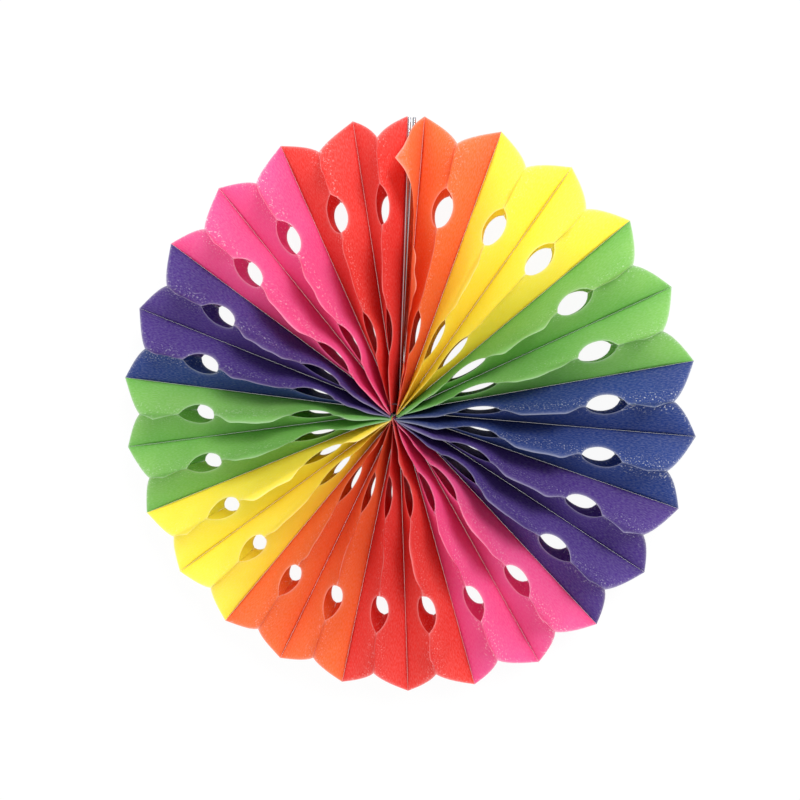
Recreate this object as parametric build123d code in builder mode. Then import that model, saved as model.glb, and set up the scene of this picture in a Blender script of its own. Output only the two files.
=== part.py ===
# A paper fan rosette: die-cut tissue leaves glued into a two-sided honeycomb ring,
# opened right round until the two end leaves meet at a pair of slim metal rods.
# Units are millimetres and degrees. +Z is the fan's axis, the front faces +Z, the
# rods point along +Y, and the back lobes rest on Z = 0.

import os
from math import asin, cos, degrees, hypot, radians, sin, sqrt

from build123d import *

os.makedirs("parts", exist_ok=True)

# The open fan
rim_radius = 225.0          # hub axis to a petal tip
half_thickness = 36.0       # middle plane to the front and back lobe edges
petals = 25                 # petals with two leaves each, besides the lone start leaf
start_angle = 88.3          # where the first leaf's fold lies at the rim
first_gap = 10.8            # from the first leaf's fold to the next petal tip
seam_gap = 3.3              # from the last petal tip to the first leaf's fold
cell_spread = 0.05          # how much wider the cells open on the rods' side

# One tissue leaf, as its die cuts it: sizes along the leaf run from the hub outwards
sheet = 0.25                # thickness of a leaf's solid
spine_radius = 5.0          # the inner edge of every leaf
web_width = 30.0            # from the fold to the glued line, at the front and at the back
fold_glue = 1.5             # half the height of the glue strip on the fold
rim_notch = 204.0           # where the rim crosses the glued line
outer_corner = 188.0        # the pointed corner of the outer lobe
outer_lobe = 12.0           # how far that corner stands past the glued line
outer_eye = (140.0, 170.0)  # the outer eye, from and to
middle_corners = (91.0, 127.0)
middle_lobe = 8.0
inner_eye = (46.0, 79.0)    # the inner eye, from and to
inner_corner = 36.0
inner_lobe = 6.0
eye_depth = 11.5            # how far an eye is cut into the web

# The rods at the seam
rod_diameter = 2.6
rod_inner = 16.0            # the rods' hub ends
rod_spacing = 3.8           # axis to axis: one above the other at the hub, abreast at the rim
rod_clearance = 0.1

# The binding thread at the hub
thread_diameter = 0.8
thread_radius = 8.0         # the ring that the thread makes when the fan is open
thread_height = 31.0        # from the middle plane to each of the two rings
thread_hole = 1.6           # diameter of the needle holes in the leaves

# The free front edge of the last leaf, which isn't glued to anything
free_edge_inner = 0.8       # how far it stands from its fold plane, at the hub
free_edge_outer = 7.0       # and at the rim
free_lean = 25.0            # how steeply its outer lobe rises as it flops over the rods
free_upright = 110.0        # its lobes stand upright from the hub out to here

leaf_colours = [
    ("red", 4), ("pink", 4), ("purple", 3), ("blue", 1), ("green", 4), ("yellow", 4),
    ("orange", 4), ("red", 4), ("pink", 4), ("purple", 4), ("blue", 4), ("green", 4),
    ("yellow", 4), ("orange", 3),
]

stations = [spine_radius, 45.0, 110.0, 165.0, rim_radius]   # where the sections are taken


# ---- where the folds and the glued lines lie ----

def petal_angles():
    """Angles of the petal tips at the rim, counted anticlockwise from the first leaf."""
    span = 360 - first_gap - seam_gap
    middles = [start_angle + first_gap + span * (k + 0.5) / (petals - 1) for k in range(petals - 1)]
    weights = [1 + cell_spread * sin(radians(a)) for a in middles]
    angles = [start_angle + first_gap]
    for weight in weights:
        angles.append(angles[-1] + span * weight / sum(weights))
    return angles


def hub_angle(rim_angle):
    """Angle of the same line at the rods' hub ends, where the rods hold the seam open."""
    rod_room = sheet + rod_diameter + 2 * rod_clearance
    extra = degrees(2 * asin(rod_room / 2 / rod_inner)) - seam_gap
    share = (rim_angle - start_angle) / (360 - seam_gap)
    return rim_angle + extra * (0.5 - share)


def line_at(rim_angle):
    """The line's direction, its left-hand normal and its distance from the hub axis."""
    near = Vector(rod_inner, 0).rotate(Axis.Z, hub_angle(rim_angle))
    far = Vector(rim_radius, 0).rotate(Axis.Z, rim_angle)
    along = (far - near).normalized()
    across = along.rotate(Axis.Z, 90)
    return along, across, near.dot(across)


# ---- one leaf ----

def glued_offset(fold, glued, turn, x):
    """How far the glued plane stands from the fold plane, at a distance x along the fold."""
    along, across, shift = fold
    glued_across, glued_shift = glued[1], glued[2]
    start = across * shift
    reach = glued_shift - start.dot(glued_across) - x * along.dot(glued_across)
    return reach / (turn * across.dot(glued_across))


def web_height(offset):
    """How far the glued line stands from the middle plane, with the web pulled straight."""
    return sqrt(web_width**2 - offset**2)


def thickened(path):
    """A closed section: the path, and the same path one sheet thickness to its right."""
    sides = []
    for (y0, z0), (y1, z1) in zip(path, path[1:]):
        length = hypot(y1 - y0, z1 - z0)
        sides.append(((z1 - z0) / length, (y0 - y1) / length))
    other = []
    for i, (y, z) in enumerate(path):
        before = sides[max(i - 1, 0)]
        after = sides[min(i, len(sides) - 1)]
        grow = sheet / (1 + before[0] * after[0] + before[1] * after[1])
        other.append((y + grow * (before[0] + after[0]), z + grow * (before[1] + after[1])))
    return path + other[::-1]


def make_leaf(fold_angle, glued_angle, turn, free_front=False):
    """One leaf. Its fold lies at fold_angle, its lobes at glued_angle; turn is 1 or -1."""
    fold = line_at(fold_angle)
    glued = line_at(glued_angle)
    along, across, shift = fold
    base = across * shift + Vector(0, 0, half_thickness)
    longest = outer_lobe + 2

    def front_lean(x):
        return free_lean if free_front and x > free_upright else 90.0

    def back_lean(x):
        return 90.0

    def front_offset(x):
        if free_front:
            share = (x - spine_radius) / (rim_radius - spine_radius)
            return free_edge_inner + share * (free_edge_outer - free_edge_inner)
        return glued_offset(fold, glued, turn, x)

    def back_offset(x):
        return glued_offset(fold, glued, turn, x)

    def edge(x, offset, lean, proud):
        """Height of the glued line plus a lobe's stand, or less an eye's depth."""
        here = web_height(offset(x))
        if proud < 0:
            return here * (1 + proud / web_width)
        return min(here + proud * sin(radians(lean(x))), half_thickness)

    with BuildPart() as leaf:
        for x in stations:
            plane = Plane(base + along * x, x_dir=across * turn, z_dir=along * turn)
            front, back = front_offset(x) - sheet, back_offset(x) - sheet
            high, low = web_height(front_offset(x)), web_height(back_offset(x))
            lean = radians(front_lean(x))
            path = [
                (back, -low - longest),
                (back, -low),
                (0, -fold_glue),
                (0, fold_glue),
                (front, high),
                (front + longest * cos(lean), high + longest * sin(lean)),
            ]
            with BuildSketch(plane):
                with BuildLine():
                    Polyline(*thickened(path), close=True)
                make_face()
        loft(ruled=True)
        with BuildSketch(Plane(base, x_dir=along, z_dir=-across)):
            with BuildLine():
                for offset, lean, side in ((front_offset, front_lean, 1), (back_offset, back_lean, -1)):
                    def at(x, proud):
                        return (x, side * edge(x, offset, lean, proud))

                    tip = (rim_radius, 0)
                    corner = at(outer_corner, outer_lobe)
                    ThreePointArc(tip, at(rim_notch, 0), corner)
                    Line(corner, at(outer_eye[1], 0))
                    ThreePointArc(at(outer_eye[1], 0), at(sum(outer_eye) / 2, -eye_depth), at(outer_eye[0], 0))
                    Polyline(
                        at(outer_eye[0], 0),
                        at(middle_corners[1], middle_lobe),
                        at(middle_corners[0], middle_lobe),
                        at(inner_eye[1], 0),
                    )
                    ThreePointArc(at(inner_eye[1], 0), at(sum(inner_eye) / 2, -eye_depth), at(inner_eye[0], 0))
                    Polyline(
                        at(inner_eye[0], 0),
                        at(inner_corner, inner_lobe),
                        at(spine_radius, inner_lobe),
                        (spine_radius, 0),
                    )
            make_face()
            with Locations((thread_radius, thread_height), (thread_radius, -thread_height)):
                Circle(thread_hole / 2, mode=Mode.SUBTRACT)
        extrude(amount=rim_radius, both=True, mode=Mode.INTERSECT)
    return leaf


# ---- the leaves, anticlockwise from the rods ----

tips = petal_angles()
first_glued = start_angle + first_gap / 2
glued_lines = [first_glued] + [(a + b) / 2 for a, b in zip(tips, tips[1:])]
glued_lines.append(tips[-1] + first_gap / 2)

colour_of = [colour for colour, count in leaf_colours for _ in range(count)]
leaves = [make_leaf(start_angle, first_glued, 1)]
for k, tip_angle in enumerate(tips):
    leaves.append(make_leaf(tip_angle, glued_lines[k], -1))
    leaves.append(make_leaf(tip_angle, glued_lines[k + 1], 1, free_front=k == petals - 1))

for number, (leaf, colour) in enumerate(zip(leaves, colour_of), start=1):
    leaf.part.label = f"leaf_{number:02d}_{colour}"
    export_step(leaf.part, f"parts/{leaf.part.label}.step")


# ---- the two rods in the seam ----

seam_along, seam_across, seam_shift = line_at(start_angle)
rod_side = -(rod_diameter / 2 + rod_clearance / 2)      # the rods' side of the first fold
rod_ends = {
    "seam_rod_left": ((rod_side, rod_spacing / 2), (rod_side, 0)),
    "seam_rod_right": ((rod_side, -rod_spacing / 2), (rod_side - rod_spacing, 0)),
}
for name, (hub_end, rim_end) in rod_ends.items():
    points = []
    for reach, (aside, up) in ((rod_inner, hub_end), (rim_radius - 1, rim_end)):
        place = seam_along * reach + seam_across * (seam_shift + aside)
        points.append(place + Vector(0, 0, half_thickness + up))
    rod_line = points[1] - points[0]
    with BuildPart() as rod:
        with BuildSketch(Plane(points[0], z_dir=rod_line)):
            Circle(rod_diameter / 2)
        extrude(amount=rod_line.length)
        chamfer(rod.faces().filter_by(GeomType.PLANE).edges(), 0.2)
    rod.part.label = name
    export_step(rod.part, f"parts/{name}.step")


# ---- the binding thread: one ring near the front and one near the back ----

for name, side in (("thread_front", 1), ("thread_back", -1)):
    with BuildPart() as thread:
        with BuildSketch(Plane.XZ):
            with Locations((thread_radius, half_thickness + side * thread_height)):
                Circle(thread_diameter / 2)
        revolve(axis=Axis.Z)
    thread.part.label = name
    export_step(thread.part, f"parts/{name}.step")
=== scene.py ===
from math import cos, pi, radians, sin

import bmesh
import bpy
import numpy as np
from mathutils import Matrix, Vector


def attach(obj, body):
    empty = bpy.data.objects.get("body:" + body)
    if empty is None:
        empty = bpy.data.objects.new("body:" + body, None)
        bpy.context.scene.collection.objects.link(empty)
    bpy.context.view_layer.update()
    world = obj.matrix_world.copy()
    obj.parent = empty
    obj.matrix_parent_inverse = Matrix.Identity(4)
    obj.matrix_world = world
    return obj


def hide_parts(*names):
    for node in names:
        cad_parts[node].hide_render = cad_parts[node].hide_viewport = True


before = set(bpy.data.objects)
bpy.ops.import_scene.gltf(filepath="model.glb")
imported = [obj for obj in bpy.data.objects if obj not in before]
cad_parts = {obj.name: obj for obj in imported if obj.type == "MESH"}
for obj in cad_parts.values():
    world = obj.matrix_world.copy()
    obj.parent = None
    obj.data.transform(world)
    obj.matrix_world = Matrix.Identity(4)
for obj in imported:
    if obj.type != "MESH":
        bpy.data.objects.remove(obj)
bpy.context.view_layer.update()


# ---- Where the leaves lie ----
# Fifty-one tissue leaves stand round the hub. Each is folded along its middle, and the folds
# and the glued lobes lie on upright planes, which spread a little at the hub beside the rods.

RIM_RADIUS = 0.225
MIDDLE_HEIGHT = 0.036
PETALS = 25
START_ANGLE = 88.3
FIRST_GAP = 10.8
SEAM_GAP = 3.3
CELL_SPREAD = 0.05
ROD_END = 0.016
HUB_OPENING = 7.3

span = 360 - FIRST_GAP - SEAM_GAP
middles = START_ANGLE + FIRST_GAP + span * (np.arange(PETALS - 1) + 0.5) / (PETALS - 1)
shares = 1 + CELL_SPREAD * np.sin(np.radians(middles))
tips = START_ANGLE + FIRST_GAP + span * np.concatenate([[0], np.cumsum(shares)]) / shares.sum()
first_glued = START_ANGLE + FIRST_GAP / 2
glued_lines = [first_glued, *((tips[:-1] + tips[1:]) / 2), tips[-1] + FIRST_GAP / 2]


def plane_at(angle):
    """The direction, left-hand normal and distance from the axis of an upright plane."""
    hub_angle = angle + HUB_OPENING * (0.5 - (angle - START_ANGLE) / (360 - SEAM_GAP))
    near = ROD_END * np.array([cos(radians(hub_angle)), sin(radians(hub_angle)), 0])
    far = RIM_RADIUS * np.array([cos(radians(angle)), sin(radians(angle)), 0])
    along = (far - near) / np.linalg.norm(far - near)
    across = np.array([-along[1], along[0], 0])
    return along, across, near @ across


# ---- Tissue, as a material ----
# Thin coloured tissue lets light through, has a faint machine grain, and shows whitish specks where
# glue has wetted it. One group makes the grain and the specks for every colour, and paints a
# highlight along the cut edges and shade in the folds and near the hub.

# Noise scales are per metre: clouds some 40 mm wide, creases 10 mm, specks and grain about 1 mm
CLOUD_SCALE, CREASE_SCALE, SPECK_SCALE, GRAIN_SCALE = 28, 90, 750, 1100
CLOUD_SHARE, GRAIN_SHARE, EDGE_HIGHLIGHT_SHARE = 0.30, 0.10, 0.30
WHITE = (1, 1, 1, 1)


def tissue_group():
    group = bpy.data.node_groups.new("tissue sheet", "ShaderNodeTree")
    inlets = {"Position": "Vector", "Colour": "Color", "Cloud And Shade Colour": "Color", "Glue": "Float",
              "Edge Highlight": "Float", "Depth": "Float", "Speck Strength": "Float"}
    outlets = {"Sheet Colour": "Color", "Relief": "Float"}
    for way, sockets in (("INPUT", inlets), ("OUTPUT", outlets)):
        for name, kind in sockets.items():
            group.interface.new_socket(name, in_out=way, socket_type=f"NodeSocket{kind}")
    nodes, links = group.nodes, group.links
    inlet = nodes.new("NodeGroupInput")
    outlet = nodes.new("NodeGroupOutput")

    def noise(scale, detail, stretch=(1, 1, 1)):
        mapping = nodes.new("ShaderNodeMapping")
        mapping.inputs["Scale"].default_value = stretch
        texture = nodes.new("ShaderNodeTexNoise")
        texture.inputs["Scale"].default_value = scale
        texture.inputs["Detail"].default_value = detail
        links.new(inlet.outputs["Position"], mapping.inputs["Vector"])
        links.new(mapping.outputs["Vector"], texture.inputs["Vector"])
        return texture.outputs["Fac"]

    def ranged(value, low, high, start, end):
        step = nodes.new("ShaderNodeMapRange")
        limits = {"From Min": low, "From Max": high, "To Min": start, "To Max": end}
        for key, number in limits.items():
            step.inputs[key].default_value = number
        links.new(value, step.inputs["Value"])
        return step.outputs["Result"]

    def product(first, second):
        times = nodes.new("ShaderNodeMath")
        times.operation = "MULTIPLY"
        links.new(first, times.inputs[0])
        links.new(second, times.inputs[1])
        return times.outputs["Value"]

    def blended(share, below, above=None):
        """One colour mixed over another, or white mixed over it when no other is given."""
        mix = nodes.new("ShaderNodeMix")
        mix.data_type = "RGBA"
        mix.inputs[7].default_value = WHITE
        links.new(share, mix.inputs["Factor"])
        links.new(below, mix.inputs[6])
        if above:
            links.new(above, mix.inputs[7])
        return mix.outputs[2]

    clouds = ranged(noise(CLOUD_SCALE, 3), 0.3, 0.7, 0.0, CLOUD_SHARE)
    grain = ranged(noise(GRAIN_SCALE, 4, (0.35, 1, 1)), 0.40, 0.80, 0.0, GRAIN_SHARE)
    specks = ranged(noise(SPECK_SCALE, 2), 0.60, 0.68, 0.0, 1.0)
    wetted = product(specks, product(inlet.outputs["Glue"], inlet.outputs["Speck Strength"]))
    # Painted highlight: white mixed in along the cut edges, where light catches them
    edge_highlight = ranged(inlet.outputs["Edge Highlight"], 0.0, 1.0, 0.0, EDGE_HIGHLIGHT_SHARE)
    deep = inlet.outputs["Cloud And Shade Colour"]
    # Painted shade: the colour deepens towards the folds and the hub, where shade falls in the fan
    colour = blended(inlet.outputs["Depth"], inlet.outputs["Colour"], deep)
    colour = blended(clouds, colour, deep)
    for share in (grain, wetted, edge_highlight):
        colour = blended(share, colour)
    links.new(colour, outlet.inputs["Sheet Colour"])
    links.new(noise(CREASE_SCALE, 6, (0.5, 1, 1)), outlet.inputs["Relief"])
    return group


sheet_group = tissue_group()


def new_material(name):
    material = bpy.data.materials.new(name)
    material.use_nodes = True
    return material, material.node_tree.nodes, material.node_tree.links


THROUGH_SHARE = 0.42


def tissue(name, colour, deep, specks):
    """A sheet that scatters light on its face and lets a share of it through."""
    material, nodes, links = new_material(name)
    nodes.clear()
    sheet = nodes.new("ShaderNodeGroup")
    sheet.node_tree = sheet_group
    sheet.inputs["Colour"].default_value = (*colour, 1)
    sheet.inputs["Cloud And Shade Colour"].default_value = (*deep, 1)
    sheet.inputs["Speck Strength"].default_value = specks
    for key, socket in (("laid", "Position"), ("glue", "Glue"), ("edge", "Edge Highlight"), ("painted_shade", "Depth")):
        reader = nodes.new("ShaderNodeAttribute")
        reader.attribute_name = key
        output = "Vector" if socket == "Position" else "Fac"
        links.new(reader.outputs[output], sheet.inputs[socket])
    bump = nodes.new("ShaderNodeBump")
    bump.inputs["Strength"].default_value = 0.35
    bump.inputs["Distance"].default_value = 0.0006
    links.new(sheet.outputs["Relief"], bump.inputs["Height"])
    front = nodes.new("ShaderNodeBsdfPrincipled")
    front.inputs["Roughness"].default_value = 0.62
    front.inputs["Specular IOR Level"].default_value = 0.25
    through = nodes.new("ShaderNodeBsdfTranslucent")
    for shader, socket in ((front, "Base Color"), (through, "Color")):
        links.new(sheet.outputs["Sheet Colour"], shader.inputs[socket])
        links.new(bump.outputs["Normal"], shader.inputs["Normal"])
    mix = nodes.new("ShaderNodeMixShader")
    mix.inputs["Fac"].default_value = THROUGH_SHARE
    out = nodes.new("ShaderNodeOutputMaterial")
    links.new(front.outputs["BSDF"], mix.inputs[1])
    links.new(through.outputs["BSDF"], mix.inputs[2])
    links.new(mix.outputs["Shader"], out.inputs["Surface"])
    return material


# Each colour, the darker colour used for its random clouds and as painted shade in the folds and near
# the hub, and how strongly its glue specks show
tissues = {
    "red": tissue("red tissue", (0.86, 0.060, 0.045), (0.72, 0.014, 0.008), 0.35),
    "pink": tissue("pink tissue", (0.90, 0.12, 0.36), (0.80, 0.020, 0.18), 0.6),
    "purple": tissue("purple tissue", (0.088, 0.038, 0.27), (0.036, 0.008, 0.16), 0.35),
    "blue": tissue("blue tissue", (0.022, 0.060, 0.27), (0.005, 0.018, 0.14), 0.65),
    "green": tissue("green tissue", (0.27, 0.56, 0.13), (0.09, 0.40, 0.04), 0.3),
    "yellow": tissue("yellow tissue", (0.99, 0.90, 0.10), (0.97, 0.74, 0.010), 0.2),
    "orange": tissue("orange tissue", (0.92, 0.20, 0.045), (0.84, 0.095, 0.010), 0.3),
}


# ---- One die-cut leaf ----
# A leaf is cut alike on its front and back edges: a pointed rim, an outer lobe, an eye, a middle
# lobe, an eye, and a lobe at the hub. Half a leaf is 30 mm wide from its fold to the glued line.

WEB_WIDTH = 0.030
LEAF_START = 0.0018
RIM_NOTCH, OUTER_CORNER, OUTER_LOBE = 0.204, 0.188, 0.0095
OUTER_EYE, INNER_EYE = (0.140, 0.170), (0.046, 0.079)
MIDDLE_CORNERS, MIDDLE_LOBE = (0.091, 0.127), 0.008
INNER_CORNER, INNER_LOBE = 0.036, 0.0055
EYE_DEPTH = 0.0115
INNER_ROUNDING, MIDDLE_ROUNDING = 0.004, 0.003
OUTER_SWELL = 1.15      # above 1, the outer lobe swells late, towards its corner
RIM_ROUNDING = 25       # how far the rim bulges between notch and tip, per metre
TIP_HALF_WIDTH = 0.0004
STATION_STEP = 0.0022

corner_points = [LEAF_START, INNER_CORNER, *INNER_EYE, *MIDDLE_CORNERS, *OUTER_EYE,
                 OUTER_CORNER, RIM_NOTCH, RIM_RADIUS]
stations = [corner_points[0]]
for here, there in zip(corner_points, corner_points[1:]):
    pieces = max(3, round((there - here) / STATION_STEP))
    steps = np.arange(1, pieces + 1) / pieces
    if there == RIM_RADIUS:
        steps = np.sin(steps * pi / 2)
    stations.extend(here + (there - here) * steps)
stations = np.array(stations)


def eye_cut(x, eye):
    """Depth of a half-eye, a round arc with its two ends on the glued line."""
    half = (eye[1] - eye[0]) / 2
    radius = (half**2 + EYE_DEPTH**2) / (2 * EYE_DEPTH)
    off = x - (eye[0] + eye[1]) / 2
    return np.sqrt(radius**2 - off**2) - (radius - EYE_DEPTH)


def eased(x, start, end):
    t = np.clip((x - start) / (end - start), 0, 1)
    return t * t * (3 - 2 * t)


def leaf_edge(x):
    """Distance from the fold to the cut edge, with the leaf laid flat."""
    edge = np.full_like(x, WEB_WIDTH)
    edge += INNER_LOBE * (1 - eased(x, INNER_CORNER - INNER_ROUNDING, INNER_EYE[0]))
    rise = eased(x, INNER_EYE[1], MIDDLE_CORNERS[0] + MIDDLE_ROUNDING)
    fall = eased(x, MIDDLE_CORNERS[1] - MIDDLE_ROUNDING, OUTER_EYE[0])
    edge += MIDDLE_LOBE * rise * (1 - fall)
    outer = np.clip((x - OUTER_EYE[1]) / (OUTER_CORNER - OUTER_EYE[1]), 0, 1)
    edge += OUTER_LOBE * outer**OUTER_SWELL
    for eye in (INNER_EYE, OUTER_EYE):
        inside = (x > eye[0]) & (x < eye[1])
        edge[inside] -= eye_cut(x[inside], eye)
    past = x > OUTER_CORNER
    edge[past] = np.interp(x[past], [OUTER_CORNER, RIM_NOTCH, RIM_RADIUS],
                           [WEB_WIDTH + OUTER_LOBE, WEB_WIDTH, 0])
    bulge = (x[past] - RIM_NOTCH) * (RIM_RADIUS - x[past]) * RIM_ROUNDING
    edge[past] += np.maximum(bulge, 0)
    return edge


# The flat leaf as a grid: rows run along the fold, one half of them on each side of it
WEB_ROWS, LOBE_ROWS = 12, 4
edge = leaf_edge(stations)
edge[-1] = TIP_HALF_WIDTH
web_reach = np.minimum(edge, WEB_WIDTH)
rows = []
for k in range(-WEB_ROWS - LOBE_ROWS, WEB_ROWS + LOBE_ROWS + 1):
    side, step = np.sign(k), abs(k)
    if step <= WEB_ROWS:
        rows.append(side * web_reach * step / WEB_ROWS)
    else:
        rows.append(side * (web_reach + (edge - web_reach) * (step - WEB_ROWS) / LOBE_ROWS))
flat_across = np.array(rows)
flat_along = np.broadcast_to(stations, flat_across.shape)


def waves(x, y, rng, count, length):
    """A smooth uneven surface about one unit high, from a few crossed waves."""
    total = np.zeros_like(x)
    for _ in range(count):
        heading = rng.uniform(0, pi)
        wave = 2 * pi / (length * rng.uniform(0.7, 1.5))
        phase = rng.uniform(0, 2 * pi)
        total += np.sin(wave * (x * cos(heading) + y * sin(heading)) + phase)
    return total / count


# ---- The fifty-one leaves, glued round the ring ----
# Each leaf is glued to one neighbour along its fold and to the other along its lobes, front and
# back. Two glued lobes stand past the joint as one small flap, and the flaps droop to one side.

GLUE_GAP = 0.00005
DROOP, DROOP_SPREAD, DROOP_CHANGE = 34.0, 14.0, 16
CHANGE_LENGTH, RIPPLE_LENGTH, RIPPLE_HEIGHT = 0.075, 0.022, 0.0011
LOBE_CURL = 45                   # how much more a lobe leans for each metre past its joint
LEAN_AT_JOINT = 0.55
PRESSED_SHARE = 0.62             # how much of the droop the rim presses out of the outer lobes
TOP_LIMIT = 0.0358               # the highest that a lobe stands, from the middle plane
BELLY_HEIGHT, BELLY_LENGTH = 0.0008, 0.055
BELLY_RISE = 0.0006
CRUMPLE_HEIGHT, CRUMPLE_LENGTH = 0.00028, 0.014

# The last leaf's front edge is glued to nothing. It runs beside the rods, leans back near the
# hub, and flops over the rods with its outer lobe.
LOOSE_STATIONS = [0, 0.03, 0.09, 0.15, 0.175, 0.20, RIM_RADIUS]
LOOSE_OFFSETS = [-0.0002, -0.0022, -0.0055, -0.001, 0.004, 0.007, 0.008]
FLOP, FLOP_START, FLOP_END = 75, 0.150, 0.176
LEAN_BACK, LEAN_BACK_START, LEAN_BACK_END = 20, 0.10, 0.15
LOOSE_RIPPLE, LOOSE_WAVE = 0.0009, 310

leaf_nodes = sorted(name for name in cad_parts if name.startswith("leaf_"))


def lobe_ripple(glued_number, side):
    """How a glued pair of lobes droops and ripples: the same for both of its leaves."""
    rng = np.random.default_rng(1000 + 2 * glued_number + (side > 0))
    angle = glued_lines[glued_number]
    droop = -DROOP * cos(radians(angle)) + rng.uniform(-DROOP_SPREAD, DROOP_SPREAD)
    x = stations
    change = waves(x, x * 0, rng, 3, CHANGE_LENGTH)
    ripple = waves(x, x * 0, rng, 3, RIPPLE_LENGTH)
    return np.radians(droop + DROOP_CHANGE * change), RIPPLE_HEIGHT * ripple


def leaf_points(fold_angle, glued_number, turn, number, free_front):
    """Where each point of the flat leaf goes once the leaf is folded and glued in place."""
    rng = np.random.default_rng(number)
    fold_along, fold_across, fold_shift = plane_at(fold_angle)
    glue_along, glue_across, glue_shift = plane_at(glued_lines[glued_number])
    side = np.sign(flat_across)
    wide = np.abs(flat_across)
    base = fold_across * fold_shift
    reach = glue_shift - base @ glue_across - stations * (fold_along @ glue_across)
    offset = np.broadcast_to(reach / (turn * fold_across @ glue_across), wide.shape)
    back_droop, back_ripple = lobe_ripple(glued_number, -1)
    front_droop, front_ripple = lobe_ripple(glued_number, 1)
    pressed = 1 - PRESSED_SHARE * eased(flat_along, OUTER_EYE[0], OUTER_EYE[1] + 0.006)
    if free_front:
        loose = np.interp(stations, LOOSE_STATIONS, LOOSE_OFFSETS)
        offset = np.where(side > 0, loose, offset)
        lean_back = LEAN_BACK * (1 - eased(stations, LEAN_BACK_START, LEAN_BACK_END))
        front_droop = np.radians(FLOP * eased(stations, FLOP_START, FLOP_END) - lean_back)
        front_ripple = LOOSE_RIPPLE * np.sin(stations * LOOSE_WAVE)
        pressed = 1.0
    height = np.sqrt(WEB_WIDTH**2 - offset**2)

    # The web bellies and crumples a little between its fold and its glued line
    part = np.minimum(wide, WEB_WIDTH) / WEB_WIDTH
    slack = np.sin(pi * np.clip(part, 0, 1)) * eased(flat_along, 0.02, 0.12)
    belly = BELLY_HEIGHT * waves(flat_along, flat_across, rng, 6, BELLY_LENGTH) + BELLY_RISE
    belly = belly + CRUMPLE_HEIGHT * waves(flat_along, flat_across, rng, 8, CRUMPLE_LENGTH)
    out_y, out_z = height / WEB_WIDTH, -offset / WEB_WIDTH
    y = part * offset + slack * belly * out_y + GLUE_GAP
    y = y - GLUE_GAP * 2 * (part > 0.98)
    z = side * (part * height + slack * belly * out_z)

    # Past the glued line, the lobe stands on upwards and leans over
    past = np.maximum(wide - WEB_WIDTH, 0)
    droop = np.where(side > 0, front_droop, back_droop)
    ripple = np.where(side > 0, front_ripple, back_ripple) * past / OUTER_LOBE
    lean = droop * pressed * (LEAN_AT_JOINT + LOBE_CURL * past)
    z = z + side * np.minimum(past * np.cos(lean), TOP_LIMIT - height)
    sway = past * np.sin(lean) + ripple
    points = base + flat_along[..., None] * fold_along
    points = points + (turn * y)[..., None] * fold_across + sway[..., None] * glue_across
    points[..., 2] += MIDDLE_HEIGHT + z
    return points


def leaf_faces():
    """Faces of the grid. A lobe's rows have faces only where the leaf is wider than its web."""
    row_count, station_count = flat_across.shape
    index = np.arange(row_count * station_count).reshape(row_count, station_count)
    lobe = edge > WEB_WIDTH + 1e-5
    faces = []
    for r in range(row_count - 1):
        on_lobe = r < LOBE_ROWS or r >= row_count - 1 - LOBE_ROWS
        for c in range(station_count - 1):
            if on_lobe and not (lobe[c] or lobe[c + 1]):
                continue
            face = [index[r, c], index[r, c + 1], index[r + 1, c + 1], index[r + 1, c]]
            if on_lobe and not lobe[c]:
                face = [index[r, c], index[r, c + 1], index[r + 1, c + 1]]
            elif on_lobe and not lobe[c + 1]:
                face = [index[r, c], index[r, c + 1], index[r + 1, c]]
            faces.append([int(corner) for corner in face])
    return faces


GLUE_LINE, GLUE_SPREAD, RIM_GLUE_SPREAD = WEB_WIDTH - 0.004, 0.006, 0.005
EDGE_HIGHLIGHT_SPREAD, FOLD_SHADE_SPREAD, HUB_SHADE_SPREAD = 0.0012, 0.006, 0.05
SHEET_SHIFT = 0.37      # moves the grain from leaf to leaf


def leaf_marks(number):
    """Where glue has wetted the leaf, where its cut edge is for a painted highlight, painted shade
    towards its fold and the hub, and its grain.
    """
    wide = np.abs(flat_across)
    near_glue = np.exp(-(((wide - GLUE_LINE) / GLUE_SPREAD) ** 2)) * eased(flat_along, 0.02, 0.08)
    near_rim = np.exp(-(((edge - wide) / RIM_GLUE_SPREAD) ** 2)) * (flat_along > OUTER_CORNER)
    # Painted shade: darker towards the fold and towards the hub, where the fan shades itself
    fold_painted_shade = 0.5 * np.exp(-wide / FOLD_SHADE_SPREAD)
    hub_painted_shade = 0.9 * np.exp(-flat_along / HUB_SHADE_SPREAD)
    marks = {
        "glue": np.clip(near_glue + 0.8 * near_rim, 0, 1),
        # Painted highlight: how near the cut edge a point lies, to pale the tissue there as if lit
        "edge": np.exp(-(edge - wide) / EDGE_HIGHLIGHT_SPREAD),
        "painted_shade": np.clip(fold_painted_shade + hub_painted_shade, 0, 1),
    }
    shift = np.full_like(wide, number * SHEET_SHIFT)
    return marks, np.stack([flat_along, flat_across, shift], axis=-1)


def leaf_mesh(name, points, number, material):
    mesh = bpy.data.meshes.new(name)
    mesh.from_pydata([tuple(point) for point in points.reshape(-1, 3)], [], faces)
    marks, laid = leaf_marks(number)
    for key, value in marks.items():
        mesh.attributes.new(key, "FLOAT", "POINT").data.foreach_set("value", value.ravel())
    mesh.attributes.new("laid", "FLOAT_VECTOR", "POINT").data.foreach_set("vector", laid.ravel())
    mesh.materials.append(material)
    for polygon in mesh.polygons:
        polygon.use_smooth = True
    drop_unused_points(mesh)
    return link_piece(name, mesh)


def drop_unused_points(mesh):
    """Take out the grid points that no face uses, and join those that lie together."""
    work = bmesh.new()
    work.from_mesh(mesh)
    bmesh.ops.delete(work, geom=[v for v in work.verts if not v.link_faces], context="VERTS")
    bmesh.ops.remove_doubles(work, verts=work.verts, dist=2e-6)
    work.to_mesh(mesh)
    work.free()


def link_piece(name, data):
    piece = bpy.data.objects.new(name, data)
    bpy.context.scene.collection.objects.link(piece)
    return piece


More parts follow.
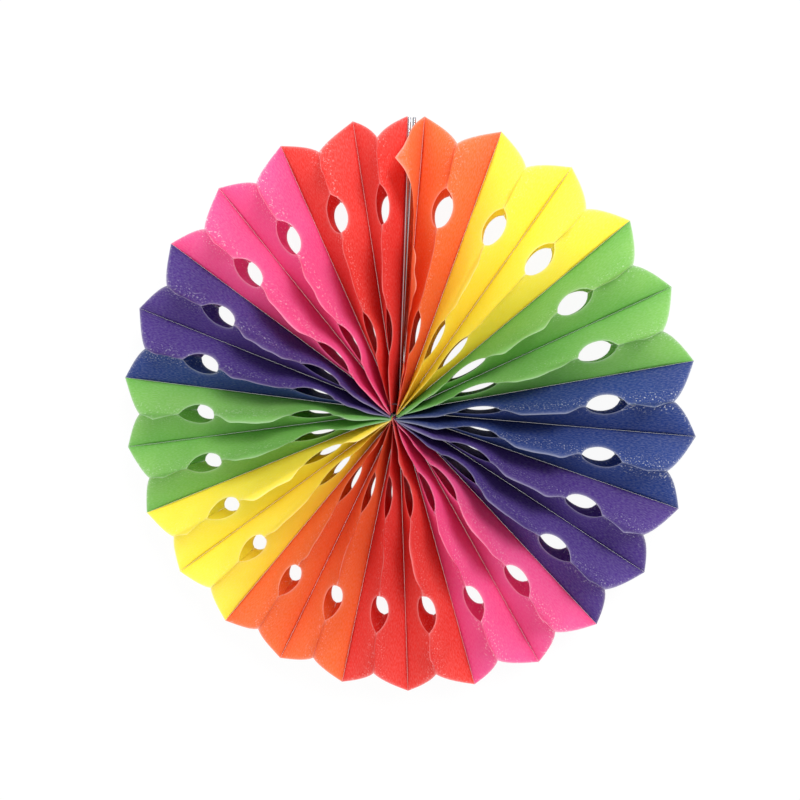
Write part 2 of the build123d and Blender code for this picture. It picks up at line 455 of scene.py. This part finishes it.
faces = leaf_faces()
for number, node in enumerate(leaf_nodes, start=1):
    colour = node.split("_")[2]
    petal = number // 2
    fold_angle = START_ANGLE if petal == 0 else tips[petal - 1]
    turn = 1 if number % 2 else -1
    glued_number = petal if turn > 0 else petal - 1
    last = number == len(leaf_nodes)
    points = leaf_points(fold_angle, glued_number, turn, number, last)
    leaf = leaf_mesh(f"tissue_{number:02d}_{colour}", points, number, tissues[colour])
    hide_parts(node)
    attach(leaf, "root")


# ---- The seam rods ----
# Two slim bright metal rods, one for each end leaf. They are drawn rod, cut square at both ends.
# Fine drawing lines run along them.

def rod_metal():
    material, nodes, links = new_material("bright drawn rod")
    shader = nodes["Principled BSDF"]
    shader.inputs["Metallic"].default_value = 1.0
    shader.inputs["Base Color"].default_value = (0.50, 0.51, 0.54, 1)
    place = nodes.new("ShaderNodeTexCoord")
    stretch = nodes.new("ShaderNodeMapping")
    stretch.inputs["Scale"].default_value = (1.0, 0.01, 1.0)
    lines = nodes.new("ShaderNodeTexNoise")
    lines.inputs["Scale"].default_value = 4000
    gloss = nodes.new("ShaderNodeMapRange")
    gloss.inputs["To Min"].default_value = 0.06
    gloss.inputs["To Max"].default_value = 0.22
    links.new(place.outputs["Object"], stretch.inputs["Vector"])
    links.new(stretch.outputs["Vector"], lines.inputs["Vector"])
    links.new(lines.outputs["Fac"], gloss.inputs["Value"])
    links.new(gloss.outputs["Result"], shader.inputs["Roughness"])
    return material


def finish_pieces(names, material):
    """Give pieces that keep their own shape their material."""
    for name in names:
        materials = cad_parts[name].data.materials
        materials.clear()
        materials.append(material)


finish_pieces(("seam_rod_left", "seam_rod_right"), rod_metal())


# ---- The binding thread ----
# Dark cotton thread sewn through every leaf near the hub. It makes a small ring at the front and
# one at the back, and its short knotted end lies across the front of the hub.

def cotton():
    material, nodes, links = new_material("dark cotton thread")
    shader = nodes["Principled BSDF"]
    shader.inputs["Roughness"].default_value = 0.8
    place = nodes.new("ShaderNodeTexCoord")
    twist = nodes.new("ShaderNodeTexWave")
    twist.inputs["Scale"].default_value = 900
    twist.bands_direction = "DIAGONAL"
    shade = nodes.new("ShaderNodeValToRGB")
    shade.color_ramp.elements[0].color = (0.010, 0.008, 0.012, 1)
    shade.color_ramp.elements[1].color = (0.055, 0.040, 0.050, 1)
    bump = nodes.new("ShaderNodeBump")
    bump.inputs["Distance"].default_value = 0.0001
    links.new(place.outputs["Object"], twist.inputs["Vector"])
    links.new(twist.outputs["Fac"], shade.inputs["Fac"])
    links.new(shade.outputs["Color"], shader.inputs["Base Color"])
    links.new(twist.outputs["Fac"], bump.inputs["Height"])
    links.new(bump.outputs["Normal"], shader.inputs["Normal"])
    return material


thread_cotton = cotton()
finish_pieces(("thread_front", "thread_back"), thread_cotton)

KNOT_HEIGHT, KNOT_LENGTH, THREAD_WIDTH = 0.0708, 0.009, 0.0007
LOOP_RADIUS, SIDE_SWAY, END_DROP = 0.0009, 0.0008, 0.0016
share = np.linspace(0, 1, 60)
loop = LOOP_RADIUS * np.sin(pi * share) ** 4
knot_path = np.stack([
    KNOT_LENGTH * (share - 0.5) + loop * np.sin(6 * pi * share),
    SIDE_SWAY * np.sin(2.4 * pi * share) + loop * np.cos(6 * pi * share),
    KNOT_HEIGHT - END_DROP * (2 * share - 1) ** 2 - LOOP_RADIUS * np.sin(8 * pi * share) ** 2,
], axis=1)
knot_curve = bpy.data.curves.new("hub_knot", "CURVE")
knot_curve.dimensions = "3D"
knot_curve.bevel_depth = THREAD_WIDTH / 2
knot_curve.bevel_resolution = 3
spline = knot_curve.splines.new("POLY")
spline.points.add(len(knot_path) - 1)
for point, place in zip(spline.points, knot_path):
    point.co = (*place, 1)
knot_line = bpy.data.objects.new("hub_knot_line", knot_curve)
knot_mesh = bpy.data.meshes.new_from_object(knot_line)
bpy.data.objects.remove(knot_line)
knot_mesh.materials.clear()
knot_mesh.materials.append(thread_cotton)
knot = link_piece("hub_knot", knot_mesh)
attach(knot, "root")


# ---- Floor, light and camera ----
# The fan lies on its back on a plain white floor, under soft light from above and to the right.
# The floor glows as the camera and mirrors see it, so that it stays white and shades only a little.

FLOOR_GLOW = 0.94


def white_floor():
    material, nodes, links = new_material("white floor")
    nodes.clear()
    path = nodes.new("ShaderNodeLightPath")
    seen = nodes.new("ShaderNodeMath")
    seen.operation = "MAXIMUM"
    share = nodes.new("ShaderNodeMath")
    share.operation = "MULTIPLY"
    share.inputs[1].default_value = FLOOR_GLOW
    matt = nodes.new("ShaderNodeBsdfDiffuse")
    matt.inputs["Color"].default_value = (0.9, 0.9, 0.9, 1)
    glow = nodes.new("ShaderNodeEmission")
    mix = nodes.new("ShaderNodeMixShader")
    out = nodes.new("ShaderNodeOutputMaterial")
    links.new(path.outputs["Is Camera Ray"], seen.inputs[0])
    links.new(path.outputs["Is Glossy Ray"], seen.inputs[1])
    links.new(seen.outputs["Value"], share.inputs[0])
    links.new(share.outputs["Value"], mix.inputs["Fac"])
    links.new(matt.outputs["BSDF"], mix.inputs[1])
    links.new(glow.outputs["Emission"], mix.inputs[2])
    links.new(mix.outputs["Shader"], out.inputs["Surface"])
    return material


FLOOR_HALF = 3.0
floor_mesh = bpy.data.meshes.new("floor")
square = [(-FLOOR_HALF, -FLOOR_HALF, 0), (FLOOR_HALF, -FLOOR_HALF, 0),
          (FLOOR_HALF, FLOOR_HALF, 0), (-FLOOR_HALF, FLOOR_HALF, 0)]
floor_mesh.from_pydata(square, [], [(0, 1, 2, 3)])
floor_mesh.materials.append(white_floor())
floor = link_piece("floor", floor_mesh)


def soft_lamp(name, place, size, power):
    """A square lamp that points at the middle of the floor."""
    lamp = bpy.data.lights.new(name, "AREA")
    lamp.size = size
    lamp.energy = power
    holder = link_piece(name, lamp)
    holder.location = place
    holder.rotation_euler = (-Vector(place)).to_track_quat("-Z", "Y").to_euler()


soft_lamp("key", (0.7, 0.9, 1.3), size=0.6, power=26)
soft_lamp("fill", (-1.2, -0.5, 1.4), size=1.6, power=11)

world = bpy.data.worlds.new("studio")
world.use_nodes = True
sky = world.node_tree.nodes["Background"]
sky.inputs["Color"].default_value = WHITE
sky.inputs["Strength"].default_value = 0.75
bpy.context.scene.world = world

# The camera looks down, tilted off the fan's axis, with the seam rods up the picture
TILT, TURN, DISTANCE = 8.3, 33.0, 0.66
FRAME_WIDTH = 0.624
target = Vector((0.0008, 0.0086, MIDDLE_HEIGHT))
view = Vector((sin(radians(TILT)) * cos(radians(TURN)), sin(radians(TILT)) * sin(radians(TURN)),
               cos(radians(TILT))))
lens = bpy.data.cameras.new("camera")
lens.sensor_width = 36
lens.lens = lens.sensor_width * DISTANCE / FRAME_WIDTH
camera = link_piece("camera", lens)
camera.location = target + view * DISTANCE
right = Vector((0, 1, 0)).cross(view).normalized()
camera.rotation_euler = Matrix((right, view.cross(right), view)).transposed().to_euler()
bpy.context.scene.camera = camera
bpy.context.scene.view_settings.view_transform = "Standard"
